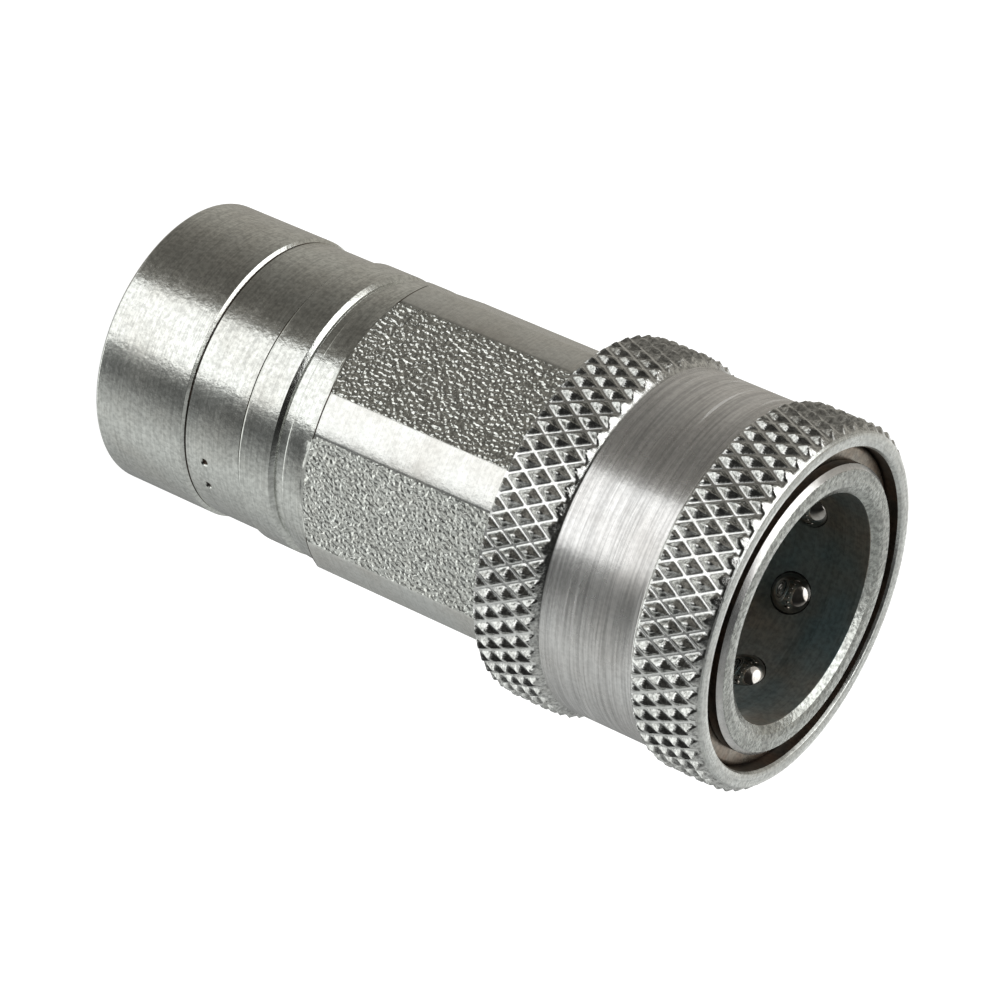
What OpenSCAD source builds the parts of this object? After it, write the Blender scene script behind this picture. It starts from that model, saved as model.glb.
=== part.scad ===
// Female half of a ball-lock quick disconnect coupler, all sizes in mm.
// The axis of the coupler is Z: the threaded port face is z = 0 and the socket mouth is at the top.

/* [Adapter with the threaded port] */
// Outside diameter of the round rear section
adapter_d = 30.4; // [28:0.1:33]
// Diameter of the recessed marking band
mark_band_d = 29.7; // [28:0.1:32]
// Start of the marking band from the port face
mark_band_z0 = 11.5; // [8:0.1:14]
// End of the marking band from the port face
mark_band_z1 = 18.7; // [16:0.1:20]
// Front edge of the rear section, where the parting groove starts
adapter_front_z = 22.4; // [21:0.1:23]
// Diameter of the floor of the parting groove
parting_groove_d = 29.1; // [28.6:0.1:29.4]
// Bore of the threaded port (half inch taper pipe thread, minor diameter)
port_d = 18.3; // [17.9:0.1:18.8]
// Depth of the threaded port
port_depth = 19.5; // [16:0.5:20]
// Rounding of the rear outer edge
rear_round = 0.9; // [0.3:0.1:1.5]

/* [Hex body and barrel] */
// Where the body starts, the front wall of the parting groove
body_z0 = 24.2; // [23.6:0.1:25]
// Where the turned corners of the hexagon start
hex_z0 = 27.7; // [27:0.1:28]
// Where the hexagon ends under the sleeve
hex_z1 = 52.0; // [50:0.1:52.4]
// Hexagon across the flats
hex_af = 30.2; // [29:0.1:32]
// Diameter over the turned corners of the hexagon
hex_land_d = 32.6; // [31.6:0.1:33.4]
// Barrel diameter, on which the sleeve slides
barrel_d = 31.92; // [31.8:0.01:31.94]
// Nose diameter in front of the stop ring
nose_d = 30.0; // [29.4:0.1:30.4]
// Overall length
length = 76.5; // [76:0.1:77]

/* [Socket] */
// Socket bore that takes the shoulder of the plug
socket_d = 23.9; // [23.7:0.1:24.3]
// Seal bore that takes the tip of the plug
seal_bore_d = 20.7; // [20.3:0.1:21]
// Bottom of the socket bore
socket_z0 = 61.5; // [61:0.1:63]
// Passage behind the seal bore, closed by the poppet
seat_d = 16.8; // [16:0.1:17.6]
// Valve chamber diameter
chamber_d = 21.6; // [20:0.1:22]

/* [Locking balls] */
// Ball diameter (three sixteenths of an inch)
ball_d = 4.76; // [4.6:0.01:4.8]
// Number of balls
ball_n = 8; // [8]
// Height of the ball ring
ball_z = 68.6; // [68.4:0.1:68.6]
// Radius of the circle the ball centres sit on when locked
ball_seat_r = 13.15; // [13.1:0.01:13.2]

/* [Sleeve] */
// Outside diameter over the knurl
sleeve_d = 38.1; // [37.8:0.1:38.6]
// Rear end of the sleeve
sleeve_z0 = 50.2; // [50:0.1:50.6]
// Front end of the sleeve
sleeve_z1 = 76.4; // [76:0.1:76.5]
// Diameter of the smooth band between the knurls
band_d = 36.2; // [35.8:0.1:37]
// Rear edge of the smooth band
band_z0 = 57.8; // [57:0.1:58.6]
// Front edge of the smooth band
band_z1 = 68.4; // [68:0.1:69]
// Locking land inside the sleeve
land_d = 32.1; // [32.08:0.01:32.2]
// Release counterbore at the sleeve mouth
release_d = 33.4; // [33.38:0.02:33.6]

/* [Springs] */
// Wire of the sleeve spring
sleeve_wire = 0.9; // [0.8:0.05:1]
// Wire of the valve spring
valve_wire = 1.3; // [1:0.05:1.4]

/* [Hidden] */
spigot_d = 25.2;
counter_d = 25.26;
spigot_z1 = 31;
guide_z1 = 34;
shoulder_z = 73.25;
washer_z = 53.2;
washer_t = 0.8;
land_z0 = 63.7;
land_z1 = 71.4;
ring_z = 73.3;
release_step_r = 16.4;
stop_ring_t = 1.6;
poppet_z = 46;
seat_z = 51.5;
gland_z0 = 55.2;
mouth_z0 = 71.1;
steel = [0.70, 0.71, 0.70];
dark = [0.30, 0.31, 0.32];
rubber = [0.08, 0.08, 0.08];
ptfe = [0.92, 0.91, 0.86];
brass = [0.78, 0.62, 0.32];

// a solid of revolution about Z from [radius, height] corners
module lathe(points, fn = 96) { rotate_extrude($fn = fn) polygon(points); }

// a ring of round section
module o_ring(centre_r, section_r, z) {
  translate([0, 0, z]) rotate_extrude($fn = 72)
    translate([centre_r, 0]) circle(r = section_r, $fn = 20);
}

// a compression spring: round wire swept along a helix with closed end coils
function coil_pitch(t, turns, len, wire) =
  let (live = turns - 2, u = t * turns)
  wire / 2 + (u < 1 ? u * wire * 1.02
    : u > turns - 1 ? len - wire - (turns - u) * wire * 1.02
    : wire * 1.02 + (u - 1) / live * (len - wire - 2.04 * wire));
module coil_spring(mean_r, wire, len, turns, steps = 26, sides = 8) {
  n = ceil(turns * steps);
  pts = [for (i = [0:n]) let (t = i / n, a = 360 * turns * t, z = coil_pitch(t, turns, len, wire))
    for (k = [0:sides - 1]) let (b = 360 * k / sides, r = mean_r + wire / 2 * cos(b))
      [r * cos(a), r * sin(a), z + wire / 2 * sin(b)]];
  faces = concat([[for (k = [0:sides - 1]) k]],
    [for (i = [0:n - 1], k = [0:sides - 1]) let (p = i * sides + k, q = i * sides + (k + 1) % sides)
      [p, p + sides, q + sides, q]],
    [[for (k = [sides - 1:-1:0]) n * sides + k]]);
  polyhedron(points = pts, faces = faces, convexity = 12);
}

module port_adapter() {
  color(steel) difference() {
    lathe([[0, 0], [adapter_d / 2 - rear_round, 0], [adapter_d / 2 - rear_round * 0.3, rear_round * 0.3],
      [adapter_d / 2, rear_round], [adapter_d / 2, mark_band_z0 - 0.3], [mark_band_d / 2, mark_band_z0],
      [mark_band_d / 2, mark_band_z1], [adapter_d / 2, mark_band_z1 + 0.3],
      [adapter_d / 2, adapter_front_z], [parting_groove_d / 2, adapter_front_z + 0.65],
      [parting_groove_d / 2, body_z0],
      [spigot_d / 2, body_z0], [spigot_d / 2, 26.2], [spigot_d / 2 - 1.6, 26.2],
      [spigot_d / 2 - 1.6, 28.5], [spigot_d / 2, 28.5], [spigot_d / 2, spigot_z1 - 0.4],
      [spigot_d / 2 - 0.4, spigot_z1], [0, spigot_z1]]);
    translate([0, 0, -1]) cylinder(d = 16, h = spigot_z1 + 2, $fn = 96);
    translate([0, 0, -1]) cylinder(d = port_d, h = port_depth + 1, $fn = 96);
    translate([0, 0, -0.01]) cylinder(d1 = port_d + 3.4, d2 = port_d - 0.02, h = 1.7, $fn = 96);
    translate([0, 0, port_depth - 0.01])
      cylinder(d1 = port_d, d2 = 15.9, h = 1.2, $fn = 96);
  }
}

module adapter_o_ring() { color(rubber) o_ring(11.84, 0.78, 27.35); }

module hex_blank() {
  // the hexagon, its corners turned down to round lands and its rear edge chamfered
  intersection() {
    translate([0, 0, body_z0 + 1.2])
      cylinder(d = hex_af / cos(30), h = hex_z1 - body_z0 - 1.2, $fn = 6);
    lathe([[0, body_z0], [adapter_d / 2, body_z0 + 1.2], [adapter_d / 2, hex_z0 - 0.9],
      [hex_land_d / 2, hex_z0], [hex_land_d / 2, hex_z1], [0, hex_z1]]);
  }
}
module ball_hole(a) {
  // straight from outside, with a tapered seat at the bore that keeps the ball in
  rotate([0, 0, a]) translate([0, 0, ball_z]) rotate([0, 90, 0]) {
    translate([0, 0, ball_seat_r - 0.25]) cylinder(r = ball_d / 2 + 0.05, h = 6, $fn = 40);
    translate([0, 0, ball_seat_r - 2.05])
      cylinder(r1 = 1.94, r2 = ball_d / 2 + 0.05, h = 1.8, $fn = 40);
  }
}
module body() {
  color(steel) difference() {
    union() {
      lathe([[0, body_z0], [adapter_d / 2 - 0.2, body_z0], [adapter_d / 2, body_z0 + 0.2],
        [adapter_d / 2, hex_z0 - 0.9], [hex_af / 2 - 0.2, hex_z0 - 0.1],
        [hex_af / 2 - 0.2, hex_z1 - 0.5], [hex_land_d / 2, hex_z1 - 0.5], [hex_land_d / 2, washer_z],
        [barrel_d / 2, washer_z], [barrel_d / 2, shoulder_z], [14.4, shoulder_z],
        [14.4, shoulder_z + 1.7], [nose_d / 2, shoulder_z + 1.7], [nose_d / 2, length - 0.6],
        [nose_d / 2 - 0.6, length], [0, length]]);
      hex_blank();
    }
    // socket, seal bore with its gland, seat passage, valve chamber and adapter counterbore
    translate([0, 0, socket_z0 + 1]) cylinder(d = socket_d, h = 40, $fn = 96);
    translate([0, 0, socket_z0]) cylinder(d = socket_d + 0.4, h = mouth_z0 - socket_z0, $fn = 96);
    translate([0, 0, length - 0.5]) cylinder(d1 = socket_d - 0.02, d2 = socket_d + 1.3, h = 0.51, $fn = 96);
    translate([0, 0, 53.5]) cylinder(d = seal_bore_d, h = 10, $fn = 96);
    translate([0, 0, socket_z0 - 0.7])
      cylinder(d1 = seal_bore_d - 0.02, d2 = socket_d - 1, h = 0.72, $fn = 96);
    translate([0, 0, gland_z0]) cylinder(d = 24.7, h = 3.8, $fn = 96);
    translate([0, 0, 40]) cylinder(d = seat_d, h = 15, $fn = 96);
    translate([0, 0, guide_z1 - 1]) cylinder(d = chamber_d, h = seat_z - 2.4 - guide_z1 + 1, $fn = 96);
    translate([0, 0, seat_z - 2.4]) cylinder(d1 = chamber_d, d2 = seat_d, h = 2.4, $fn = 96);
    translate([0, 0, body_z0 - 1]) cylinder(d = counter_d, h = guide_z1 - body_z0 + 1, $fn = 96);
    for (i = [0:ball_n - 1]) ball_hole(45 * i);
  }
}

module valve_guide() {
  color(brass) difference() {
    union() {
      translate([0, 0, spigot_z1]) cylinder(d = spigot_d, h = guide_z1 - spigot_z1, $fn = 96);
      translate([0, 0, spigot_z1 - 2]) cylinder(d = 8, h = 7.8, $fn = 48);
    }
    translate([0, 0, 20]) cylinder(d = 4.12, h = 30, $fn = 48);
    // three flow windows between the arms
    for (a = [0:120:240]) rotate([0, 0, a]) translate([0, 0, spigot_z1 - 1]) linear_extrude(guide_z1)
      difference() {
        polygon([[5 * cos(-48), 5 * sin(-48)], [12 * cos(-52), 12 * sin(-52)], [13.2, -4],
          [13.2, 4], [12 * cos(52), 12 * sin(52)], [5 * cos(48), 5 * sin(48)], [5, 0]]);
        difference() { circle(d = 60, $fn = 96); circle(d = 20.6, $fn = 96); }
        circle(d = 10, $fn = 48);
      }
  }
}

module poppet() {
  color(steel) lathe([[0, 25], [1.6, 25], [2, 25.4], [2, poppet_z - 1.4], [4.4, poppet_z - 1.4],
    [4.4, poppet_z], [7.9, poppet_z], [9.3, poppet_z + 1.4], [9.3, seat_z - 0.95], [8.3, seat_z],
    [8.1, seat_z + 0.2], [6.6, seat_z + 0.2], [6.6, seat_z + 1.5], [4, seat_z + 1.5],
    [4, 56.2], [3.2, 57], [0, 57]]);
}
module poppet_seal() {
  color(rubber) difference() {
    lathe([[0, seat_z + 0.22], [8.05, seat_z + 0.22], [8.39, seat_z + 0.6], [8.39, seat_z + 1.1],
      [8.05, seat_z + 1.48], [0, seat_z + 1.48]]);
    translate([0, 0, seat_z - 1]) cylinder(r = 6.62, h = 4, $fn = 72);
  }
}
module seal_retainer() {
  color(steel) difference() {
    lathe([[0, seat_z + 1.52], [7.9, seat_z + 1.52], [7.9, seat_z + 2.2], [6.6, seat_z + 3.3],
      [0, seat_z + 3.3]]);
    translate([0, 0, seat_z]) cylinder(r = 4.02, h = 5, $fn = 60);
  }
}
module poppet_spring() {
  color(steel) translate([0, 0, guide_z1 + 0.02])
    coil_spring(5.8, valve_wire, poppet_z - guide_z1 - 0.04, 3.5);
}

module socket_o_ring() { color(rubber) o_ring(11.2, 1.1, gland_z0 + 1.16); }
module backup_ring() {
  color(ptfe) difference() {
    translate([0, 0, gland_z0 + 2.34]) cylinder(r = 12.3, h = 1.4, $fn = 72);
    translate([0, 0, gland_z0]) cylinder(r = 10.55, h = 5, $fn = 72);
  }
}

module spring_washer() {
  color(steel) difference() {
    translate([0, 0, washer_z + 0.01]) cylinder(r = 16.95, h = washer_t, $fn = 96);
    translate([0, 0, washer_z - 1]) cylinder(d = barrel_d + 0.1, h = 3, $fn = 96);
  }
}
module sleeve_spring() {
  color(steel) translate([0, 0, washer_z + washer_t + 0.03])
    coil_spring(16.52, sleeve_wire, land_z0 - washer_z - washer_t - 0.06, 3, 48);
}
module sleeve() {
  color(steel) difference() {
    lathe([[0, sleeve_z0], [sleeve_d / 2 - 0.7, sleeve_z0], [sleeve_d / 2, sleeve_z0 + 0.6],
      [sleeve_d / 2, band_z0 - 0.9], [band_d / 2, band_z0], [band_d / 2, band_z1],
      [sleeve_d / 2, band_z1 + 0.8], [sleeve_d / 2, sleeve_z1 - 0.6], [sleeve_d / 2 - 0.6, sleeve_z1],
      [0, sleeve_z1]]);
    translate([0, 0, 40]) cylinder(d = hex_land_d + 0.16, h = 20, $fn = 96);
    translate([0, 0, sleeve_z0 - 0.01])
      cylinder(d1 = hex_land_d + 1.6, d2 = hex_land_d + 0.14, h = 0.7, $fn = 96);
    translate([0, 0, 52.6]) cylinder(r = 17.1, h = land_z0 - 52.6, $fn = 96);
    translate([0, 0, 60]) cylinder(d = land_d, h = 20, $fn = 96);
    translate([0, 0, land_z1]) cylinder(r = release_step_r, h = 20, $fn = 96);
    translate([0, 0, ring_z]) cylinder(d = release_d, h = 20, $fn = 96);
    translate([0, 0, sleeve_z1 - 0.4])
      cylinder(d1 = release_d - 0.02, d2 = release_d + 0.6, h = 0.42, $fn = 96);
  }
}
module stop_ring() {
  // a snap ring in the nose groove; its rear face stops the sleeve
  color(dark) difference() {
    translate([0, 0, ring_z]) cylinder(r = 16.6, h = stop_ring_t, $fn = 96);
    translate([0, 0, 70]) cylinder(r = 14.45, h = 6, $fn = 96);
    translate([0, 0, 70]) linear_extrude(6)
      polygon([[10, 0], [20 * cos(6), 20 * sin(6)], [20 * cos(22), 20 * sin(22)],
        [10 * cos(28), 10 * sin(28)]]);
  }
}

module ball(i) {
  color(dark) rotate([0, 0, 45 * (i - 1)]) translate([ball_seat_r, 0, ball_z])
    sphere(d = ball_d, $fn = 32);
}

port_adapter();
adapter_o_ring();
body();
valve_guide();
poppet();
poppet_seal();
seal_retainer();
poppet_spring();
socket_o_ring();
backup_ring();
spring_washer();
sleeve_spring();
sleeve();
stop_ring();
ball(1);  // ball_1
ball(2);  // ball_2
ball(3);  // ball_3
ball(4);  // ball_4
ball(5);  // ball_5
ball(6);  // ball_6
ball(7);  // ball_7
ball(8);  // ball_8
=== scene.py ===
import math

import bmesh
import bpy
import numpy as np
from mathutils import Matrix, Vector


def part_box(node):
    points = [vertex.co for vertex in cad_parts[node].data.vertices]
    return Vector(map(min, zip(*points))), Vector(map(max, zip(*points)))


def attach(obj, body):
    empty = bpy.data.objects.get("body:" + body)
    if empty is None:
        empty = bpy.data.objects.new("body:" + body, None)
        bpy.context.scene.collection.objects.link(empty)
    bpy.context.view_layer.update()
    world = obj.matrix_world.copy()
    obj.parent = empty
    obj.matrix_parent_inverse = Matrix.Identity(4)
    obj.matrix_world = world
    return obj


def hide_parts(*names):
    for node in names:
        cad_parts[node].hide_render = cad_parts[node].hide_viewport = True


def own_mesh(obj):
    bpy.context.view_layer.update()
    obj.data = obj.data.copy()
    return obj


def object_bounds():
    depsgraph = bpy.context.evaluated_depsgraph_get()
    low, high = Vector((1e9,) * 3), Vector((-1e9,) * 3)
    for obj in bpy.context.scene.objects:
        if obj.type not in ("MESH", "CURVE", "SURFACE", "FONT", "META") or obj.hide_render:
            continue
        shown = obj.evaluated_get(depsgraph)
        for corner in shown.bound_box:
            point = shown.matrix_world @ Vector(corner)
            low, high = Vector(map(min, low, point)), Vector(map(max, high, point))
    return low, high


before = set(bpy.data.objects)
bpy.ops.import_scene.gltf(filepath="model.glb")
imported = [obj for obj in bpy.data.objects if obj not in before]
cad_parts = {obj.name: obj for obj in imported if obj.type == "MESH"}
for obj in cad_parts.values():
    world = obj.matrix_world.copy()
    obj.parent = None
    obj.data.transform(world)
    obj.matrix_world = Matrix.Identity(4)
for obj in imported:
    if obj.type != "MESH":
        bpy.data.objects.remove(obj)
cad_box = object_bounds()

MM = 0.001
TAU = 2 * math.pi


# ---------------------------------------------------------------- sizes, in mm, from the frame
def box_mm(node):
    lo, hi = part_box(node)
    return [v * 1000 for v in lo], [v * 1000 for v in hi]


_, adapter_hi = box_mm("port_adapter")
body_lo, body_hi = box_mm("body")
sleeve_lo, sleeve_hi = box_mm("sleeve")
ball_lo, ball_hi = box_mm("ball_1")
R_ADAPTER = adapter_hi[0]
R_LAND = body_hi[0]                                 # the hexagon's turned corners
R_SLEEVE = sleeve_hi[0]
Z_BODY, Z_NOSE = body_lo[2], body_hi[2]
Z_SL0, Z_SL1 = sleeve_lo[2], sleeve_hi[2]
BALL_R = (ball_hi[2] - ball_lo[2]) / 2
BALL_Z = (ball_hi[2] + ball_lo[2]) / 2
BALL_X = (ball_hi[0] + ball_lo[0]) / 2

# sizes inside those boxes, in mm, as the part has them
APOTHEM = 15.1              # the hexagon's flats
R_PORT = 9.15               # crests of the port's thread
R_FLOW = 8.0                # flow passage
R_SPIGOT = 12.6             # adapter's spigot
R_COUNTER = 12.63           # body's counterbore for it
R_CHAMBER = 10.8            # valve chamber
R_SEAT = 8.4                # valve seat
R_SEAL_BORE = 10.35         # fits the plug's tip
R_GLAND = 12.35             # seal gland
R_RELIEF = 12.15            # socket wall at the balls
R_SOCKET = 11.95            # socket's mouth
R_BARREL = 15.96            # barrel under the sleeve
R_NOSE = 15.0
Z_SPIGOT, Z_GUIDE = 31.0, 34.0
Z_SEAT, Z_GLAND0, Z_GLAND1 = 51.5, 55.2, 59.0
Z_SOCKET, Z_RELIEF, Z_SHOULDER = 61.5, 71.1, 73.25

# finish of the surfaces, in mm
TEETH = 58                  # knurl teeth round the sleeve
KNURL_DEPTH = 0.59
BAND_DEPTH = 0.95           # smooth band below the knurl's crests
EDGE_ROUND = 0.09           # how far the turned corners blend into the flats


# ---------------------------------------------------------------- mesh tools
def fillet(points, steps=4):
    """A closed profile of (r, z) or (r, z, radius) corners, rounded where a corner has a radius."""
    out, n = [], len(points)
    for i, p in enumerate(points):
        rad = p[2] if len(p) > 2 else 0
        b = np.array(p[:2], float)
        if not rad:
            out.append(tuple(b))
            continue
        a, c = np.array(points[i - 1][:2], float), np.array(points[(i + 1) % n][:2], float)
        u, v = (a - b) / np.linalg.norm(a - b), (c - b) / np.linalg.norm(c - b)
        half = math.acos(max(-1, min(1, float(u @ v)))) / 2
        if half > 1.56:                             # in line with its neighbours
            out.append(tuple(b))
            continue
        back = min(rad / math.tan(half), 0.49 * np.linalg.norm(a - b), 0.49 * np.linalg.norm(c - b))
        p0, p1 = b + u * back, b + v * back
        for k in range(steps + 1):
            t = k / steps
            out.append(tuple((1 - t) ** 2 * p0 + 2 * t * (1 - t) * b + t * t * p1))
    return out


def add_object(name, data):
    obj = bpy.data.objects.new(name, data)
    bpy.context.scene.collection.objects.link(obj)
    return obj


def shade(mesh, angle):
    """Smooth shading, with edges steeper than the angle kept sharp."""
    mesh.polygons.foreach_set("use_smooth", np.ones(len(mesh.polygons), bool))
    mesh.set_sharp_from_angle(angle=math.radians(angle))


def make(name, verts, faces, smooth=28, slots=None):
    mesh = bpy.data.meshes.new(name)
    mesh.from_pydata(np.asarray(verts, float) * MM, [], faces)
    mesh.update()
    if slots is not None:
        mesh.polygons.foreach_set("material_index", np.asarray(slots, np.int32))
    shade(mesh, smooth)
    return add_object(name, mesh)


def circle(columns):
    return np.arange(columns) * TAU / columns


def rings_to_mesh(name, R, Z, theta, smooth=28, cross=None, slots=None):
    """R and Z hold one row per profile point and one column per angle, and the profile closes.
    cross marks the rows of cells that get a middle vertex, so that both diagonals are edges."""
    R, Z = np.asarray(R, float), np.asarray(Z, float)
    rows, cols = R.shape
    X, Y = R * np.cos(theta), R * np.sin(theta)
    verts = np.stack([X, Y, Z], -1).reshape(-1, 3).tolist()
    faces, index = [], []
    for i in range(rows):
        k = (i + 1) % rows
        mat = 0 if slots is None else slots[i]
        for j in range(cols):
            m = (j + 1) % cols
            a, b, c, d = i * cols + j, i * cols + m, k * cols + m, k * cols + j
            if cross is not None and cross[i]:
                verts.append(cross[i](i, j))
                e = len(verts) - 1
                faces += [(a, b, e), (b, c, e), (c, d, e), (d, a, e)]
                index += [mat] * 4
            else:
                faces.append((a, b, c, d))
                index.append(mat)
    return make(name, verts, faces, smooth, index)


def lathe(name, profile, columns=128, smooth=28):
    """A closed (r, z[, radius]) profile, listed so that its outside is on the right going up."""
    pts = fillet(profile)
    R = [[p[0]] * columns for p in pts]
    Z = [[p[1]] * columns for p in pts]
    return rings_to_mesh(name, R, Z, circle(columns), smooth)


def disc_lathe(name, profile, columns=96):
    """A solid of revolution whose profile starts and ends on the axis."""
    pts = fillet(profile)
    inner = [p for p in pts if p[0] > 1e-6]
    verts = [(r * math.cos(t), r * math.sin(t), z) for r, z in inner for t in circle(columns)]
    n = len(inner)
    faces = [(i * columns + j, i * columns + (j + 1) % columns, (i + 1) * columns + (j + 1) % columns,
              (i + 1) * columns + j) for i in range(n - 1) for j in range(columns)]
    low, high = len(verts), len(verts) + 1
    verts += [(0, 0, pts[0][1]), (0, 0, pts[-1][1])]
    faces += [(low, (j + 1) % columns, j) for j in range(columns)]
    top = (n - 1) * columns
    faces += [(high, top + j, top + (j + 1) % columns) for j in range(columns)]
    return make(name, verts, faces)


def sweep(name, sections, sides):
    """A tube through sections that each have the same number of points, with both ends closed."""
    verts = [v for section in sections for v in section]
    last = (len(sections) - 1) * sides
    faces = []
    for i in range(len(sections) - 1):
        for k in range(sides):
            p, q = i * sides + k, i * sides + (k + 1) % sides
            faces.append((p, p + sides, q + sides, q))
    faces.append(tuple(range(sides)))
    faces.append(tuple(last + k for k in reversed(range(sides))))
    return make(name, verts, faces, 40)


def spring(name, mean, wire, z0, z1, turns, per_turn=72, sides=14):
    """Round wire on a helix with its end coils closed, as the CAD spring winds."""
    length, live, n = z1 - z0, turns - 2, int(turns * per_turn)
    pitch = wire * 1.02                             # of the closed coils
    sections = []
    for i in range(n + 1):
        u = turns * i / n
        if u < 1:
            rise = u * pitch
        elif u > turns - 1:
            rise = length - wire - (turns - u) * pitch
        else:
            rise = pitch + (u - 1) / live * (length - wire - 2 * pitch)
        a, height, section = TAU * u, z0 + wire / 2 + rise, []
        for b in circle(sides):
            r = mean + wire / 2 * math.cos(b)
            section.append((r * math.cos(a), r * math.sin(a), height + wire / 2 * math.sin(b)))
        sections.append(section)
    return sweep(name, sections, sides)


# ---------------------------------------------------------------- node tools
class Nodes:
    """Short calls for building a node tree."""

    def __init__(self, tree):
        self.tree = tree

    def new(self, kind, **props):
        node = self.tree.nodes.new(kind)
        for key, value in props.items():
            setattr(node, key, value)
        return node

    def put(self, socket, value):
        if isinstance(value, bpy.types.NodeSocket):
            self.tree.links.new(value, socket)
        else:
            socket.default_value = value

    def math(self, op, a, b=0.0):
        n = self.new("ShaderNodeMath", operation=op)
        self.put(n.inputs[0], a)
        self.put(n.inputs[1], b)
        return n.outputs[0]

    def ramp(self, fac, *stops):
        """Stops are (position, grey or colour)."""
        n = self.new("ShaderNodeValToRGB")
        self.put(n.inputs[0], fac)
        el = n.color_ramp.elements
        while len(el) < len(stops):
            el.new(0.5)
        for e, (pos, col) in zip(el, stops):
            e.position = pos
            e.color = (col, col, col, 1) if isinstance(col, (int, float)) else (*col, 1)
        return n.outputs["Color"]

    def mix(self, fac, a, b, mode="MIX"):
        n = self.new("ShaderNodeMix", data_type="RGBA", blend_type=mode)
        self.put(n.inputs[0], fac)
        self.put(n.inputs[6], a if isinstance(a, bpy.types.NodeSocket) else (*a, 1))
        self.put(n.inputs[7], b if isinstance(b, bpy.types.NodeSocket) else (*b, 1))
        return n.outputs[2]


class Surface(Nodes):
    """A material, with the calls that only surfaces need."""

    def __init__(self, name):
        self.mat = bpy.data.materials.new(name)
        self.mat.use_nodes = True
        super().__init__(self.mat.node_tree)
        self.inputs = self.tree.nodes["Principled BSDF"].inputs
        self.coord = self.new("ShaderNodeTexCoord").outputs["Object"]

    def noise(self, vector, scale, detail=2.0, rough=0.5):
        n = self.new("ShaderNodeTexNoise")
        self.put(n.inputs["Vector"], vector)
        n.inputs["Scale"].default_value = scale
        n.inputs["Detail"].default_value = detail
        n.inputs["Roughness"].default_value = rough
        return n.outputs["Fac"]

    def bump(self, height, distance, normal=None):
        n = self.new("ShaderNodeBump")
        n.inputs["Distance"].default_value = distance
        n.inputs["Strength"].default_value = 1.0
        self.put(n.inputs["Height"], height)
        if normal is not None:
            self.put(n.inputs["Normal"], normal)
        return n.outputs["Normal"]

    def around(self, turns, along):
        """A vector that runs slowly round the axis and fast along it, for marks left by turning."""
        s = self.new("ShaderNodeSeparateXYZ")
        self.put(s.inputs[0], self.coord)
        x, y, z = (s.outputs[k] for k in "XYZ")
        angle = self.math("ARCTAN2", y, x)
        squares = self.math("ADD", self.math("MULTIPLY", x, x), self.math("MULTIPLY", y, y))
        sloped = self.math("ADD", z, self.math("MULTIPLY", self.math("SQRT", squares), 0.73))
        c = self.new("ShaderNodeCombineXYZ")
        self.put(c.inputs[0], self.math("MULTIPLY", self.math("COSINE", angle), turns))
        self.put(c.inputs[1], self.math("MULTIPLY", self.math("SINE", angle), turns))
        self.put(c.inputs[2], self.math("MULTIPLY", sloped, along))
        return c.outputs[0]


def plated(name, base, stain, rough, turned=0.0, along=6000, grain=0.0, grain_scale=2600, grain_detail=3,
           aniso=0.0, stain_scale=130, speckle=0.12, fine_scale=2200, fine_detail=2, rough_var=0.10,
           metal=1.0, streak=0.20, scratch_glint=0.0):
    """Metal with stains, speckles, turning marks and grain. turned and grain are heights in metres,
    streak is how dark the turning marks get, and scratch_glint how far the light rings hide the metal;
    the rings are scratches whose glint is a painted highlight."""
    m = Surface(name)
    patch = m.ramp(m.noise(m.coord, stain_scale, 4, 0.6), (0.38, 0.0), (0.72, 1.0))
    fine = m.ramp(m.noise(m.coord, fine_scale, fine_detail, 0.6), (0.36, 1.0 - speckle), (0.60, 1.0))
    lines = m.noise(m.around(1.6, along), 1.0, 3, 0.65)
    wide = m.noise(m.around(3.0, along / 7), 1.0, 2, 0.5)
    colour = m.mix(m.math("MULTIPLY", patch, 0.55), base, stain)
    colour = m.mix(1.0, colour, fine, "MULTIPLY")
    if turned:
        colour = m.mix(1.0, colour, m.ramp(lines, (0.34, 1.0 - streak), (0.60, 1.0)), "MULTIPLY")
    m.put(m.inputs["Metallic"], metal)
    if scratch_glint:                                     # a few light rings, as a rubbing edge leaves, lightened and made less metallic: painted highlight for their glint
        glint_rings = m.ramp(m.noise(m.around(1.2, along / 2.3), 1.0, 1, 0.4), (0.66, 0.0), (0.71, 1.0))
        colour = m.mix(m.math("MULTIPLY", glint_rings, 0.6), colour, (0.95, 0.94, 0.92))
        m.put(m.inputs["Metallic"], m.math("SUBTRACT", metal, m.math("MULTIPLY", glint_rings, scratch_glint)))
    m.put(m.inputs["Base Color"], colour)
    r = m.math("ADD", rough, m.math("MULTIPLY", m.math("SUBTRACT", patch, 0.4), rough_var))
    if turned:
        r = m.math("ADD", r, m.math("MULTIPLY", m.math("SUBTRACT", wide, 0.5), 0.12))
    m.put(m.inputs["Roughness"], r)
    normal = None
    if turned:
        normal = m.bump(wide, turned * 1.5, m.bump(lines, turned))
    if grain:
        normal = m.bump(m.noise(m.coord, grain_scale, grain_detail, 0.62), grain, normal)
    if normal is not None:
        m.put(m.inputs["Normal"], normal)
    if aniso:
        m.put(m.inputs["Anisotropic"], aniso)
        m.put(m.inputs["Anisotropic Rotation"], 0.25)
        tangent = m.new("ShaderNodeTangent", direction_type="RADIAL", axis="Z")
        m.put(m.inputs["Tangent"], tangent.outputs[0])
    return m.mat


# ---------------------------------------------------------------- materials
def mat_adapter():
    return plated("zinc_adapter", (0.825, 0.845, 0.805), (0.63, 0.61, 0.55), 0.19, turned=0.8e-6,
                  along=5200, grain=2.6e-5, grain_scale=1800, aniso=0.30, speckle=0.26)


def mat_band():
    return plated("zinc_sleeve", (0.85, 0.85, 0.835), (0.71, 0.68, 0.645), 0.25, turned=1.2e-5,
                  along=3600, grain=7e-6, aniso=0.45, speckle=0.12, streak=0.32, metal=0.86, scratch_glint=0.5)


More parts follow.
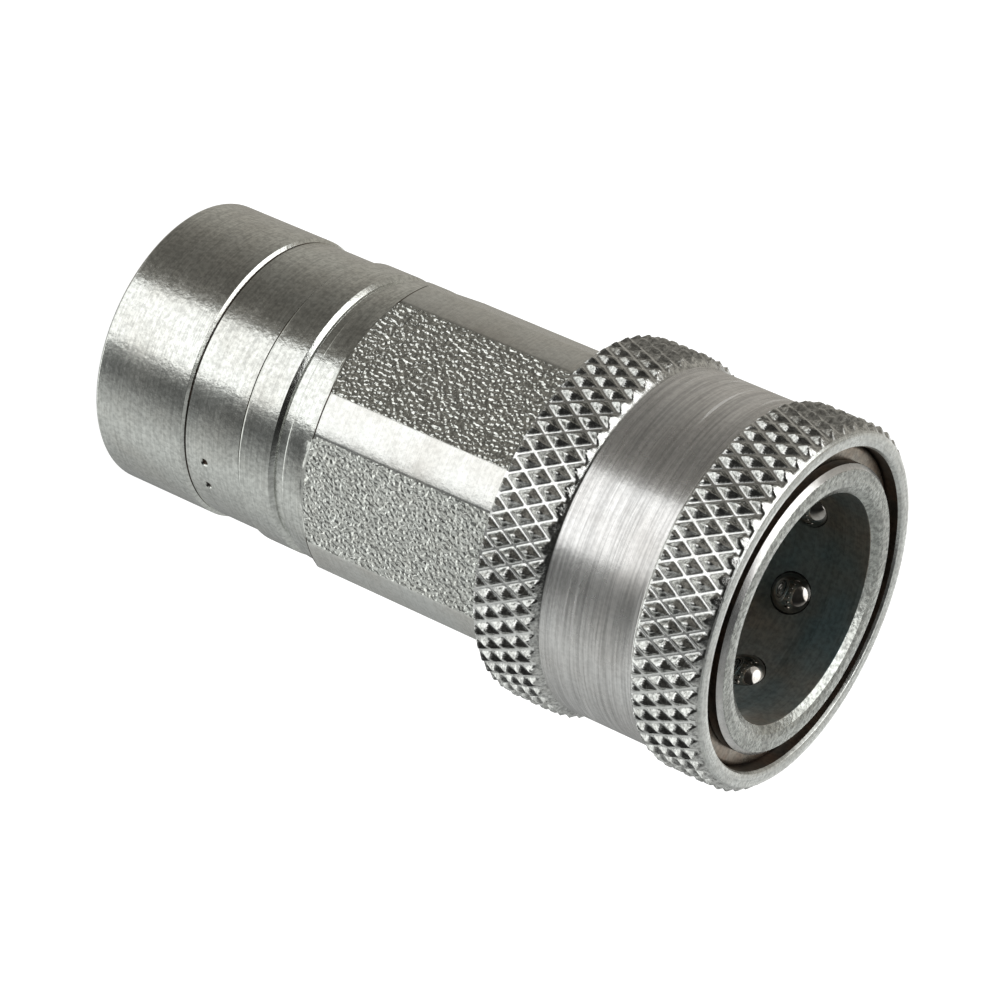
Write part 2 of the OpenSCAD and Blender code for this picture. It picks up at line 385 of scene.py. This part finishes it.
def mat_land():
    return plated("zinc_land", (0.81, 0.825, 0.795), (0.62, 0.585, 0.53), 0.24, turned=1.2e-6,
                  grain=1.6e-5, grain_scale=2200, aniso=0.3, speckle=0.14, streak=0.10)


def mat_flat():
    """The hexagon's cold-drawn flats: coarse, sparkling grain."""
    return plated("zinc_flat", (0.85, 0.87, 0.825), (0.72, 0.715, 0.66), 0.18, grain=2.3e-4,
                  grain_scale=2500, grain_detail=0.5, speckle=0.36, stain_scale=900, fine_scale=2800,
                  fine_detail=1)


def mat_face():
    return plated("zinc_nose_face", (0.56, 0.58, 0.545), (0.36, 0.36, 0.335), 0.27, grain=6e-5,
                  grain_scale=2300, speckle=0.50, stain_scale=700)


def mat_rim():
    return plated("zinc_rim", (0.82, 0.84, 0.81), (0.62, 0.62, 0.58), 0.30, turned=2e-6, grain=2.6e-5,
                  grain_scale=2300, speckle=0.28, stain_scale=400)


def mat_knurl_shaded():
    # dark stain and heavy speckle: the mottling is the metal's own, the overall darkness paints the shade
    # the teeth cast on one another
    return plated("zinc_knurl_shaded", (0.82, 0.83, 0.805), (0.42, 0.41, 0.38), 0.17, grain=3.2e-5,
                  speckle=0.50, stain_scale=1500, fine_scale=2600)


def mat_groove():
    """The bright floors of the knurl's grooves."""
    return plated("zinc_groove", (0.86, 0.87, 0.85), (0.74, 0.735, 0.71), 0.24, grain=1e-5,
                  speckle=0.15, stain_scale=900)


def mat_bore():
    return plated("bore_oxide", (0.27, 0.36, 0.375), (0.56, 0.33, 0.17), 0.40, turned=1.5e-6, grain=3e-6,
                  aniso=0.3, stain_scale=75, speckle=0.3, metal=0.55)


def mat_painted_shade():
    """Painted shade: dark brownish metal for grooves, creases and dots and for the walls round the stop
    ring, where shade falls.
    """
    return plated("groove_painted_shade", (0.075, 0.066, 0.056), (0.16, 0.085, 0.045), 0.38, turned=2e-6,
                  along=5000, grain=4e-6, stain_scale=420, speckle=0.4, metal=0.6)


def mat_ball():
    return plated("ball_steel", (0.56, 0.54, 0.51), (0.30, 0.25, 0.20), 0.06, grain=1.2e-6,
                  stain_scale=700, speckle=0.25, rough_var=0.05)


def mat_ring():
    return plated("ring_oiled", (0.44, 0.40, 0.34), (0.34, 0.20, 0.12), 0.30, turned=3e-6, along=7000,
                  stain_scale=350, speckle=0.35)


def mat_spring():
    return plated("spring_wire", (0.42, 0.42, 0.41), (0.28, 0.25, 0.21), 0.28, grain=4e-6,
                  stain_scale=400)


def mat_valve():
    return plated("valve_steel", (0.46, 0.47, 0.47), (0.30, 0.29, 0.27), 0.24, turned=3e-6, along=5600,
                  aniso=0.4)


def mat_brass():
    return plated("brass_guide", (0.72, 0.54, 0.26), (0.45, 0.30, 0.13), 0.28, turned=2e-6, grain=5e-6)


def soft(name, base, stain, rough, grain):
    """Rubber or plastic, with faint moulding marks."""
    m = Surface(name)
    patch = m.noise(m.coord, 300, 4, 0.6)
    m.put(m.inputs["Base Color"], m.mix(patch, base, stain))
    change = m.math("MULTIPLY", m.math("SUBTRACT", patch, 0.5), 0.3)
    m.put(m.inputs["Roughness"], m.math("ADD", rough, change))
    fine = m.bump(m.noise(m.coord, 5000, 2), grain)
    m.put(m.inputs["Normal"], m.bump(m.noise(m.around(1.0, 2500), 1.0), grain * 0.6, fine))
    return m.mat


def mat_rubber():
    return soft("nitrile", (0.018, 0.018, 0.019), (0.035, 0.034, 0.033), 0.45, 5e-6)


def mat_ptfe():
    return soft("ptfe", (0.86, 0.85, 0.80), (0.74, 0.72, 0.66), 0.40, 4e-6)


def dress(obj, mats, slot, body, *nodes):
    for m in mats:
        obj.data.materials.append(m)
    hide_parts(*nodes)
    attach(obj, body)


# ---------------------------------------------------------------- the adapter
def thread_radius(z, angle, lead):
    """The female taper thread's surface radius: V grooves cut outward from the crests, which fade
    out at the bottom. lead is the radius of the cone that opens the port."""
    pitch, depth, taper, gauge = 1.814, 1.38, 32, 17.8
    crest = R_PORT + (gauge - z) / taper
    turn = (z / pitch - angle / TAU) % 1.0
    groove = min(1.0, max(0.0, (1 - abs(2 * turn - 1)) * 1.25 - 0.12))
    fade = min(1.0, max(0.0, (16.6 - z) / 3.2))
    return max(crest + depth * groove * fade, lead)


def build_adapter():
    ZINC, THREAD, RECESS_SHADE = range(3)
    r = R_ADAPTER
    band = r - 0.35                                 # the marking band
    floor = band - 0.10                             # the narrow groove at its rear edge
    dots = ((40.7, 14.0), (53.0, 13.95))            # punched dots: degrees round the band, height
    dot_r, dot_depth = 0.46, 0.30
    near_dots = (13.2, 14.8)
    z_front = 24.2                                  # where the adapter meets the body

    theta = set(np.round(circle(144), 6))
    for deg, _ in dots:
        theta |= set(np.round(np.radians(deg) + np.linspace(-0.05, 0.05, 31), 6))
    theta = np.array(sorted(theta))

    rear = fillet([
        (10.85, 0.0, 0.15), (r - 0.25, 0.0, 0.3), (r, 0.3, 0.3), (r, 11.25, 0.04),
        (band - 0.02, 11.45, 0.02), (floor, 11.5, 0.02), (floor, 11.6, 0.02), (band, 11.7)], 5)
    marked = [(band, z) for z in np.linspace(*near_dots, 32)]
    front = fillet([
        (band, 15.5), (band, 18.44, 0.03), (band - 0.12, 18.52, 0.02), (band - 0.12, 18.66, 0.02),
        (r - 0.05, 18.74, 0.03), (r, 18.9, 0.08), (r, 22.55, 0.06), (14.8, 22.95, 0.06),
        (14.55, 23.05, 0.06), (14.55, z_front, 0.05), (R_SPIGOT, z_front, 0.1), (R_SPIGOT, 26.2, 0.1),
        (11.0, 26.2, 0.1), (11.0, 28.5, 0.1), (R_SPIGOT, 28.5, 0.1), (R_SPIGOT, Z_SPIGOT, 0.35),
        (R_FLOW, Z_SPIGOT, 0.3), (R_FLOW, 20.6, 0.2), (9.0, 19.6, 0.1)], 5)
    profile = rear + marked + front
    # the groove at the marking band's rear edge, the hairline groove and the dots get painted shade
    slots = ([RECESS_SHADE if 11.45 < z < 11.65 and p > 14 else ZINC for p, z in rear] + [ZINC] * len(marked)
             + [RECESS_SHADE if 18.5 < z < 18.7 else ZINC for _, z in front])
    R = [np.full(len(theta), p[0]) for p in profile]
    Z = [np.full(len(theta), p[1]) for p in profile]
    for i in range(len(rear), len(rear) + len(marked)):
        for deg, height in dots:
            d = np.hypot((theta - math.radians(deg)) * band, profile[i][1] - height)
            R[i] = R[i] - dot_depth * np.clip(1 - (d / dot_r) ** 2, 0, 1)
    for z in np.linspace(19.2, 0.12, 150):
        lead = R_PORT + max(0.0, 1.7 - z)
        R.append([thread_radius(z, t, lead) for t in theta])
        Z.append([z] * len(theta))
        slots.append(THREAD)
    obj = rings_to_mesh("adapter_shell", R, Z, theta, smooth=32, slots=slots)
    for poly in obj.data.polygons:                  # painted shade in the dots
        c = poly.center / MM
        if 13 < c.z < 14.9 and 14 < math.hypot(c.x, c.y) < band - 0.13:
            poly.material_index = RECESS_SHADE
    dress(obj, [mat_adapter(), mat_valve(), mat_painted_shade()], "zinc_steel", "body", "port_adapter")


# ---------------------------------------------------------------- the body
HALF_LAND = math.pi / 6 - math.acos(APOTHEM / R_LAND)       # a turned corner's half angle


def from_corner(angle):
    """An angle round the axis as the signed angle from the nearest corner of the hexagon."""
    return (angle + math.pi / 6) % (math.pi / 3) - math.pi / 6


def hex_radius(t):
    """The hexagon's radius at an angle, with its corners turned down to the lands."""
    flat = APOTHEM / math.cos(math.pi / 6 - abs(from_corner(t)))
    near = max(EDGE_ROUND - abs(R_LAND - flat), 0)
    return min(R_LAND, flat) - near * near / (4 * EDGE_ROUND)


def body_columns():
    """Angles round the body, close together where the lands meet the flats."""
    near = [s * HALF_LAND + d for s in (-1, 1) for d in (-0.0145, -0.009, -0.003, 0.003, 0.009, 0.0145)]
    land = list(np.linspace(-HALF_LAND + 0.03, HALF_LAND - 0.03, 8))
    flat = list(np.linspace(HALF_LAND + 0.03, math.pi / 3 - HALF_LAND - 0.03, 30))
    return np.array(sorted((k * math.pi / 3 + a) % TAU for k in range(6) for a in near + land + flat))


def build_body():
    TURNED, COLLAR, FLAT, BORE, FACE, LAND, PAINTED_SHADE = range(7)
    theta = body_columns()
    cols = len(theta)
    hexr = np.array([hex_radius(t) for t in theta])
    wide = np.full(cols, R_LAND)
    rows = []                                       # (radius per column, height per column, slot)

    def ring(r, z, slot):
        rows.append((np.full(cols, r), np.full(cols, z), slot))

    def upper_slot(r, z):
        if r < 12.28 and 60 < z < 76.06:
            return BORE
        if r > 12.3 and z > Z_NOSE - 0.2:
            return FACE
        # the walls round the stop ring, in the gap under the sleeve, get painted shade
        if r > 14.3 and 71 < z < 76.0:
            return PAINTED_SHADE
        return BORE if r < 12.5 and z < 60 else TURNED

    r = R_ADAPTER
    for p in fillet([(R_COUNTER, Z_BODY), (r, Z_BODY, 0.22), (r, 26.0)])[1:]:
        ring(p[0], p[1], COLLAR)
    # the step up to the hexagon starts lower where its radius is smaller, as a chamfer cuts it
    z_step, rise = 26.8, 0.9
    crease = z_step + rise * (hexr - r) / (R_LAND - r)
    # the top rows of the step get painted shade, a dark line along the crease
    for share, back, slot in ((0.0, 0.34, COLLAR), (0.03, 0.30, COLLAR), (0.5, 0.17, COLLAR),
                              (0.93, 0.06, PAINTED_SHADE), (1.0, -0.04, PAINTED_SHADE), (1.0, -0.15, FLAT)):
        rows.append((r + (hexr - r) * share, crease - back, slot))
    for z in np.linspace(28.6, 51.4, 26):
        rows.append((hexr, np.full(cols, z), FLAT))
    rows.append((hexr, np.full(cols, 51.5), TURNED))
    rows.append((wide, np.full(cols, 51.52), TURNED))
    for p in fillet([
            (R_LAND, 53.2, 0.15), (R_BARREL, 53.2, 0.05), (R_BARREL, Z_SHOULDER, 0.12),
            (14.4, Z_SHOULDER, 0.05), (14.4, 74.95, 0.05), (R_NOSE, 74.95, 0.1), (R_NOSE, 76.0, 0.05),
            (14.5, Z_NOSE, 0.12), (13.4, Z_NOSE, 0.3), (12.75, Z_NOSE - 0.08, 0.1), (R_SOCKET, 75.9, 0.1),
            (R_SOCKET, 72.8, 0.3), (R_RELIEF, Z_RELIEF, 0.3), (R_RELIEF, Z_SOCKET, 0.15),
            (11.45, Z_SOCKET, 0.1), (R_SEAL_BORE, 60.8, 0.15), (R_SEAL_BORE, Z_GLAND1, 0.08),
            (R_GLAND, Z_GLAND1, 0.08), (R_GLAND, Z_GLAND0, 0.08), (R_SEAL_BORE, Z_GLAND0, 0.08),
            (R_SEAL_BORE, 53.5, 0.1), (R_SEAT, 53.5, 0.1), (R_SEAT, Z_SEAT, 0.1), (R_CHAMBER, 49.1, 0.2),
            (R_CHAMBER, Z_GUIDE, 0.2), (R_COUNTER, Z_GUIDE, 0.1), (R_COUNTER, Z_BODY, 0.15),
            (14.0, Z_BODY)], 5)[:-1]:
        ring(p[0], p[1], upper_slot(*p))
    R, Z, slots = zip(*rows)
    obj = rings_to_mesh("body_shell", R, Z, theta, smooth=26, slots=slots)
    for poly in obj.data.polygons:                  # lands and flats part by their place round the axis, and the crease keeps its painted shade only beside the lands
        away = abs(from_corner(math.atan2(poly.center.y, poly.center.x)))
        if poly.material_index == FLAT and away < HALF_LAND:
            poly.material_index = LAND
        elif poly.material_index == PAINTED_SHADE and poly.center.z < 30 * MM and away >= HALF_LAND + 0.03:
            poly.material_index = COLLAR
    dress(obj, [mat_band(), mat_adapter(), mat_flat(), mat_bore(), mat_face(), mat_land(), mat_painted_shade()],
          "zinc_steel", "body", "body")
    drill(obj)


def drill_tool():
    """Eight stepped pins, as long as the ball holes with their tapered seats."""
    verts, faces, sides = [], [], 48
    hole = BALL_R + 0.05
    for a in circle(8):
        base, ca, sa = len(verts), math.cos(a), math.sin(a)
        for x, r in ((10.9, 1.90), (BALL_X - 0.25, hole), (17.2, hole)):
            for b in circle(sides) + TAU / sides / 2:
                y, z = r * math.cos(b), r * math.sin(b)
                verts.append((x * ca - y * sa, x * sa + y * ca, BALL_Z + z))
        for s in range(2):
            for k in range(sides):
                p, q = base + s * sides + k, base + s * sides + (k + 1) % sides
                faces.append((p, q, q + sides, p + sides))
        faces.append(tuple(base + k for k in reversed(range(sides))))
        faces.append(tuple(base + 2 * sides + k for k in range(sides)))
    return make("drill_tool", verts, faces)


def drill(obj):
    """Cut the ball holes through the nose, and keep the round walls' shading as it was."""
    tool = drill_tool()
    mod = obj.modifiers.new("holes", "BOOLEAN")
    mod.operation, mod.solver, mod.object = "DIFFERENCE", "EXACT", tool
    bpy.context.view_layer.objects.active = obj
    bpy.context.view_layer.update()
    with bpy.context.temp_override(object=obj, active_object=obj, selected_objects=[obj]):
        bpy.ops.object.modifier_apply(modifier="holes")
    bpy.data.objects.remove(tool)
    mesh = obj.data
    shade(mesh, 26)
    normals = [(0.0, 0.0, 0.0)] * len(mesh.loops)
    for poly in mesh.polygons:
        rad = [math.hypot(*mesh.vertices[v].co.xy) / MM for v in poly.vertices]
        for wall, sign in ((R_RELIEF, -1), (R_BARREL, 1)):
            if all(abs(x - wall) < 0.02 for x in rad) and 60 < poly.center.z / MM < 71.5:
                for li in poly.loop_indices:
                    x, y, _ = mesh.vertices[mesh.loops[li].vertex_index].co
                    normals[li] = tuple(Vector((x, y, 0)).normalized() * sign)
    mesh.normals_split_custom_set(normals)


# ---------------------------------------------------------------- the sleeve
def knurl_height(s1, s2):
    """Height of a diamond knurl, 0 at a groove's floor and 1 on a tooth's blunt tip."""
    d = min(abs(s1 - round(s1)), abs(s2 - round(s2)))
    return min(1.0, max(0.0, (d - 1 / 12) / (4 / 12)))


def build_sleeve():
    BAND, KNURL, RIM, INSIDE, PAINTED_SHADE, GROOVE = range(6)
    per = 12                                        # columns to a tooth, which divide its grooves evenly
    cols = TEETH * per
    rs, rb = R_SLEEVE, R_SLEEVE - BAND_DEPTH
    z_band0, z_band1, z_rim = 57.8, 68.4, Z_SL1 - 0.2
    R, Z, slots, cross = [], [], [], []

    def ring(r, z, slot):
        R.append(np.full(cols, r))
        Z.append(np.full(cols, z))
        slots.append(slot)
        cross.append(None)

    def knurl(z0, z1, envelope, rows=26):
        """Two families of crossed grooves, cut into the turned shape that envelope gives."""
        step, first = (z1 - z0) / rows, len(R)

        def radius(j, k):
            s = j / per
            h = knurl_height(s + k / per, s - k / per)
            return min(rs - KNURL_DEPTH * (1 - h), envelope(z0 + k * step))

        def middle(i, j):
            k = i - first + 0.5
            r, a = radius(j + 0.5, k), (j + 0.5) * TAU / cols
            return (r * math.cos(a), r * math.sin(a), z0 + k * step)

        for k in range(rows + 1):
            R.append(np.array([radius(j, k) for j in range(cols)]))
            Z.append(np.full(cols, z0 + k * step))
            slots.append(KNURL)
            cross.append(middle if k < rows else None)

    ring(17.1, Z_SL0, BAND)
    ring(18.0, Z_SL0, BAND)
    ring(18.25, Z_SL0 + 0.03, BAND)
    knurl(Z_SL0 + 0.1, z_band0, lambda z: min(rs, 18.35 + (z - Z_SL0) * 1.2, rb + (z_band0 - z) * 1.05))
    slots[-1] = BAND
    for z in (57.95, 63.0, 68.3):
        ring(rb, z, BAND)
    knurl(z_band1, z_rim, lambda z: min(rs, rb + (z - z_band1) * 1.1, 18.36 + z_rim - z))
    slots[-1] = RIM
    for r, z in fillet([
            (18.36, z_rim), (18.34, z_rim + 0.02, 0.02), (18.2, Z_SL1 - 0.04, 0.08), (17.95, Z_SL1, 0.3),
            (17.3, Z_SL1, 0.3), (16.88, Z_SL1 - 0.05, 0.1), (16.7, Z_SL1 - 0.35, 0.08),
            (16.7, 73.3, 0.05), (16.4, 73.3, 0.05), (16.4, 71.4, 0.05), (16.05, 71.4, 0.12),
            (16.05, 63.7, 0.1), (17.1, 63.7, 0.1), (17.1, 52.6, 0.1), (16.38, 52.6, 0.1),
            (16.38, 50.9, 0.1), (17.0, Z_SL0 + 0.02)])[1:]:
        # the counterbore wall round the stop ring gets painted shade
        ring(r, z, RIM if z > Z_SL1 - 0.34 else PAINTED_SHADE if z > 73 else INSIDE)
    obj = rings_to_mesh("sleeve_shell", R, Z, circle(cols), smooth=50, cross=cross, slots=slots)
    for poly in obj.data.polygons:                  # the grooves' floors, which keep plain zinc without the knurl's painted shade
        if poly.material_index == KNURL and abs(poly.normal.z) < 0.2:
            c = poly.center / MM
            if abs(math.hypot(c.x, c.y) - (rs - KNURL_DEPTH)) < 0.03:
                poly.material_index = GROOVE
    dress(obj, [mat_band(), mat_knurl_shaded(), mat_rim(), mat_valve(), mat_painted_shade(), mat_groove()],
          "sleeve_steel", "sleeve", "sleeve")


def build_sleeve_inside():
    """The sleeve's spring and the washer that it seats on."""
    lo, hi = box_mm("sleeve_spring")
    obj = spring("sleeve_spring_wire", 16.52, 0.9, lo[2], hi[2], 3, 96, 12)
    dress(obj, [mat_spring()], "spring_steel", "body", "sleeve_spring")
    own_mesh(obj)
    lo, hi = box_mm("spring_washer")
    obj = lathe("spring_washer_plate", [(16.01, lo[2], 0.08), (16.95, lo[2], 0.12), (16.95, hi[2], 0.12),
                                        (16.01, hi[2], 0.08)], 144)
    dress(obj, [mat_valve()], "valve_steel", "body", "spring_washer")


# ---------------------------------------------------------------- small pieces
def build_stop_ring():
    """A split ring of square wire with rounded corners and a gap."""
    lo, hi = box_mm("stop_ring")
    z0, z1 = lo[2], hi[2]
    section = fillet([(16.6, z0, 0.3), (16.6, z1, 0.45), (14.45, z1, 0.3), (14.45, z0, 0.3)], 5)
    start, end, n = math.radians(23), math.radians(365), 150
    sections = []
    for i in range(n + 1):
        a = start + (end - start) * i / n
        sections.append([(r * math.cos(a), r * math.sin(a), z) for r, z in section])
    obj = sweep("stop_ring_wire", sections, len(section))
    dress(obj, [mat_ring()], "ring_steel", "body", "stop_ring")


def build_balls():
    mat = mat_ball()
    for i in range(8):
        name = f"ball_{i + 1}"
        lo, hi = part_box(name)
        mesh = bpy.data.meshes.new(name + "_round")
        bm = bmesh.new()
        bmesh.ops.create_icosphere(bm, subdivisions=5, radius=BALL_R * MM)
        bmesh.ops.translate(bm, vec=(lo + hi) / 2, verts=bm.verts)
        for f in bm.faces:
            f.smooth = True
        bm.to_mesh(mesh)
        bm.free()
        dress(add_object(name + "_round", mesh), [mat], "ball_steel", name, name)


def build_valve():
    """The poppet, its seal and retainer, its spring, and the guide, which keeps its CAD shape."""
    steel, travel = mat_valve(), 7.0
    rim = 9.3                                       # the poppet's skirt
    obj = disc_lathe("poppet_body", [
        (0, 25), (2.0, 25, 0.3), (2.0, 44.6, 0.1), (4.4, 44.6, 0.2), (4.4, 46, 0.1), (7.9, 46, 0.2),
        (rim, 47.4, 0.3), (rim, 50.55, 0.1), (8.1, 51.7, 0.1), (6.6, 51.7, 0.05), (6.6, 53.0, 0.1),
        (4.0, 53.0, 0.1), (4.0, 57.0, 0.9), (0, 57.0)])
    dress(obj, [steel], "valve_steel", "poppet", "poppet")
    obj = lathe("poppet_seal_ring", [(6.62, 51.72, 0.1), (8.05, 51.72, 0.1), (8.39, 52.1, 0.2),
                                     (8.39, 52.6, 0.2), (8.05, 52.98, 0.1), (6.62, 52.98, 0.1)], 96)
    dress(obj, [mat_rubber()], "nitrile", "poppet", "poppet_seal")
    obj = lathe("seal_retainer_ring", [(4.02, 53.02, 0.1), (7.9, 53.02, 0.15), (7.9, 53.7, 0.15),
                                       (6.6, 54.8, 0.3), (4.02, 54.8, 0.15)], 96)
    dress(obj, [steel], "valve_steel", "poppet", "seal_retainer")
    lo, hi = box_mm("poppet_spring")
    obj = spring("poppet_spring_wire", 5.8, 1.3, lo[2], hi[2], 3.5)
    dress(obj, [mat_spring()], "spring_steel", "body", "poppet_spring")
    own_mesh(obj)
    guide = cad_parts["valve_guide"]
    guide.data.materials.clear()
    guide.data.materials.append(mat_brass())


def build_seals():
    rubber, cols = mat_rubber(), 128
    for node, centre, section in (("adapter_o_ring", 11.84, 0.78), ("socket_o_ring", 11.2, 1.1)):
        lo, hi = box_mm(node)
        z = (lo[2] + hi[2]) / 2
        R = [[centre + section * math.cos(a)] * cols for a in circle(28)]
        Z = [[z + section * math.sin(a)] * cols for a in circle(28)]
        obj = rings_to_mesh(node + "_torus", R, Z, circle(cols), smooth=60)
        dress(obj, [rubber], "nitrile", "body", node)
    lo, hi = box_mm("backup_ring")
    obj = lathe("backup_ring_ptfe", [(10.55, lo[2], 0.15), (12.3, lo[2], 0.15), (12.3, hi[2], 0.15),
                                     (10.55, hi[2], 0.15)])
    dress(obj, [mat_ptfe()], "ptfe", "body", "backup_ring")


# ---------------------------------------------------------------- studio
class Sky(Nodes):
    """The world's light by direction: degrees round the axis from +X, and height from -1 to 1."""

    def __init__(self, tree):
        super().__init__(tree)
        self.direction = self.new("ShaderNodeTexCoord").outputs["Generated"]
        sep = self.new("ShaderNodeSeparateXYZ")
        self.put(sep.inputs[0], self.direction)
        self.height = sep.outputs["Z"]
        angle = self.math("ARCTAN2", sep.outputs["Y"], sep.outputs["X"])
        self.turn = self.math("ADD", self.math("DIVIDE", angle, TAU), 0.5)

    def compass(self, *stops):
        """Light by degrees round the axis; the room is warmer behind, the table side cooler."""
        out = []
        for deg, v in stops:
            red, blue = (1.05, 0.91) if v < 1 and deg < -34 else (0.985, 0.985)
            out.append(((deg + 180) / 360, (v * red, v, v * blue)))
        return self.ramp(self.turn, *out)

    def smooth(self, value, lo, hi):
        n = self.new("ShaderNodeMapRange", interpolation_type="SMOOTHSTEP")
        self.put(n.inputs[0], value)
        n.inputs[1].default_value, n.inputs[2].default_value = lo, hi
        return n.outputs[0]

    def window(self, mid, half, low, high):
        """A soft box's outline: 1 inside the compass window and the height window, 0 outside."""
        away = self.math("ABSOLUTE", self.math("SUBTRACT", self.turn, (mid + 180) / 360))
        side = self.smooth(away, (half + 2) / 360, (half - 2) / 360)
        level = self.math("MULTIPLY", self.smooth(self.height, *low), self.smooth(self.height, *high))
        return self.math("MULTIPLY", side, level)

    def cone(self, az, el, half, blur):
        """A round light's outline about one direction."""
        n = self.new("ShaderNodeVectorMath", operation="DOT_PRODUCT")
        self.put(n.inputs[0], self.direction)
        a, e = math.radians(az), math.radians(el)
        n.inputs[1].default_value = (math.cos(a) * math.cos(e), math.sin(a) * math.cos(e), math.sin(e))
        return self.smooth(n.outputs["Value"], math.cos(math.radians(half + blur)),
                           math.cos(math.radians(half - blur)))

    def over(self, outline, light, value, blue=1.0):
        return self.mix(outline, light, (value, value, value * blue))


def build_world():
    """Soft studio surroundings: a tall soft box, a round one behind and above, a pale table side and a
    dim room. Three compass ramps give the light low, level and high, and the height blends them."""
    world = bpy.data.worlds.new("studio")
    bpy.context.scene.world = world
    world.use_nodes = True
    world.node_tree.nodes.clear()
    sky = Sky(world.node_tree)
    level = sky.compass(
        (-180, 0.36), (-139, 0.40), (-115, 0.34), (-91, 0.20), (-67, 0.13), (-50, 0.13), (-38, 0.22),
        (-30, 0.5), (12, 0.5), (24, 0.28), (31, 0.12), (43, 0.15), (53, 0.32), (66, 0.51), (80, 0.67),
        (101, 0.58), (125, 0.42), (149, 0.34), (165, 0.24))
    low = sky.compass((-180, 0.34), (-120, 0.24), (-90, 0.16), (-62, 0.35), (-40, 1.25), (95, 1.25),
                      (130, 0.50), (160, 0.36))
    high = sky.compass((-180, 0.44), (-142, 0.42), (-110, 0.31), (-60, 0.18), (-36, 0.04), (40, 0.02),
                       (55, 0.06), (72, 0.32), (90, 0.45), (120, 0.50), (160, 0.48))
    light = sky.mix(sky.smooth(sky.height, -0.80, -0.64), low, level)
    light = sky.mix(sky.smooth(sky.height, -0.22, 0.16), light, high)
    tall_box = sky.window(-7.5, 25.5, (-0.76, -0.62), (-0.12, -0.24))
    round_box = sky.cone(-101.5, 67, 31, 3)
    bright_table = sky.cone(178, 2, 20, 8)
    light = sky.over(tall_box, light, 1.5)
    light = sky.over(round_box, light, 2.2)
    light = sky.over(bright_table, light, 1.05, 0.985)
    back = sky.new("ShaderNodeBackground")
    sky.put(back.inputs["Color"], light)
    sky.put(sky.new("ShaderNodeOutputWorld").inputs[0], back.outputs[0])


def build_floor():
    """A pale floor that lights nothing, so that the metal shows only the studio."""
    mesh = bpy.data.meshes.new("floor")
    s = 6.0
    mesh.from_pydata([(-s, -s, 0), (s, -s, 0), (s, s, 0), (-s, s, 0)], [], [(0, 1, 2, 3)])
    floor = add_object("floor", mesh)
    m = Surface("pale_floor")
    m.put(m.inputs["Base Color"], m.mix(m.noise(m.coord, 40, 3), (0.30, 0.30, 0.30), (0.34, 0.34, 0.34)))
    m.put(m.inputs["Roughness"], 0.9)
    m.put(m.inputs["Specular IOR Level"], 0.0)
    m.put(m.inputs["Emission Color"], (1, 1, 1, 1))
    m.put(m.inputs["Emission Strength"], 0.95)
    floor.data.materials.append(m.mat)
    floor.visible_glossy = False
    floor.visible_shadow = False
    floor.visible_diffuse = False


def build_camera():
    """A long lens from beside and above the mouth, turned so that the axis runs down to the right."""
    az, el, roll, distance = math.radians(84.9), math.radians(28.26), math.radians(113.8), 0.433
    back = Vector((math.sin(az) * math.cos(el), -math.cos(az) * math.cos(el), math.sin(el)))
    level = (-back).cross(Vector((0, 0, 1))).normalized()
    up = level.cross(-back)
    right = level * math.cos(roll) + up * math.sin(roll)
    top = right.cross(-back)
    lo, hi = cad_box
    aim = Vector(((lo[0] + hi[0]) / 2 + 0.0002, (lo[1] + hi[1]) / 2 + 0.0021, hi[2] - 0.0355))
    cam = bpy.data.cameras.new("camera")
    cam.sensor_width, cam.lens = 36, 156.7
    cam.clip_start, cam.clip_end = 0.01, 50
    obj = add_object("camera", cam)
    rot = Matrix((right, top, back)).transposed()
    obj.matrix_world = Matrix.Translation(aim + back * distance) @ rot.to_4x4()
    bpy.context.scene.camera = obj


def build_light():
    """One soft light above the object, so that it stands on a faint shadow."""
    light = bpy.data.lights.new("overhead", "AREA")
    light.shape, light.size, light.energy = "DISK", 0.9, 1.2
    obj = add_object("overhead", light)
    obj.location = (0.06, -0.76, 0.70)
    obj.rotation_euler = (Vector((0, 0, 0.04)) - obj.location).to_track_quat("-Z", "Y").to_euler()
    obj.visible_camera = False


build_adapter()
build_body()
build_sleeve()
build_stop_ring()
build_balls()
build_valve()
build_sleeve_inside()
build_seals()
build_world()
build_floor()
build_light()
build_camera()
bpy.context.scene.view_settings.view_transform = "Standard"
